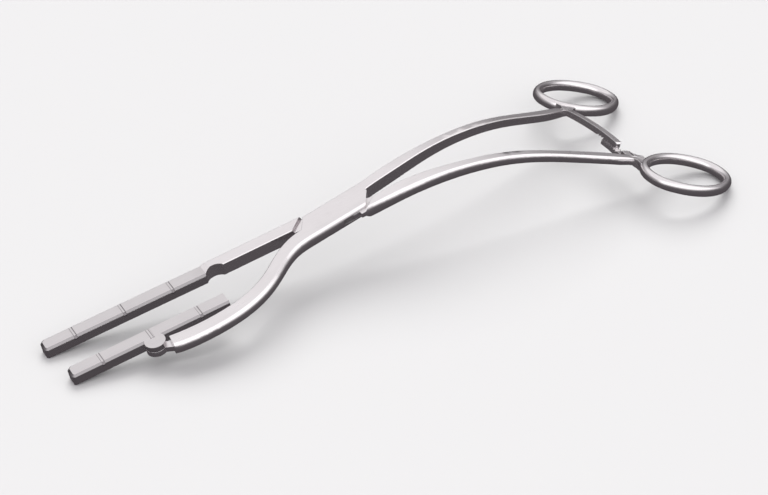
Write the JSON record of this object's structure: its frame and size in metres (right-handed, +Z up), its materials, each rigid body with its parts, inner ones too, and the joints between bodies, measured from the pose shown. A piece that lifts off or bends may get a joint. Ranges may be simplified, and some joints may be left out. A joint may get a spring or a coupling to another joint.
{
  "type": "aortic clamp",
  "caption": "Surgical cross-clamp with finger rings, ratchet racks, a box lock, a fixed straight jaw and a self-aligning jaw on a curved arm.",
  "frame": {"origin": "centre of the footprint, on the surface the clamp lies on", "axes": "+X runs lengthwise from the jaws to the finger rings, +Z is up, and +Y is the side of the ring whose rack lies on top"},
  "size_m": [0.2754, 0.1011, 0.0317],
  "materials": {
    "satin_steel": "satin polished",
    "jaw_steel": "satin polished",
    "pin_steel": "ground flush with the face around it"
  },
  "bodies": {
    "box_side": {"box_half": "satin_steel", "box_pin": "pin_steel", "swivel_pin": "pin_steel"},
    "tongue_side": {"tongue_half": "satin_steel"},
    "loose_jaw": {"swivel_jaw": "jaw_steel"}
  },
  "joints": [
    {"name": "box_lock", "type": "hinge", "parent": "box_side", "child": "tongue_side", "pos_m": [-0.02117, 0, 0.02213], "axis": [-0.1674, 0, 0.9859], "range_deg": [-30, 2]},
    {"name": "jaw_swivel", "type": "hinge", "parent": "box_side", "child": "loose_jaw", "pos_m": [-0.1056, -0.01531, 0.00759], "axis": [-0.1674, 0, 0.9859], "range_deg": [-3, 12]}
  ]
}
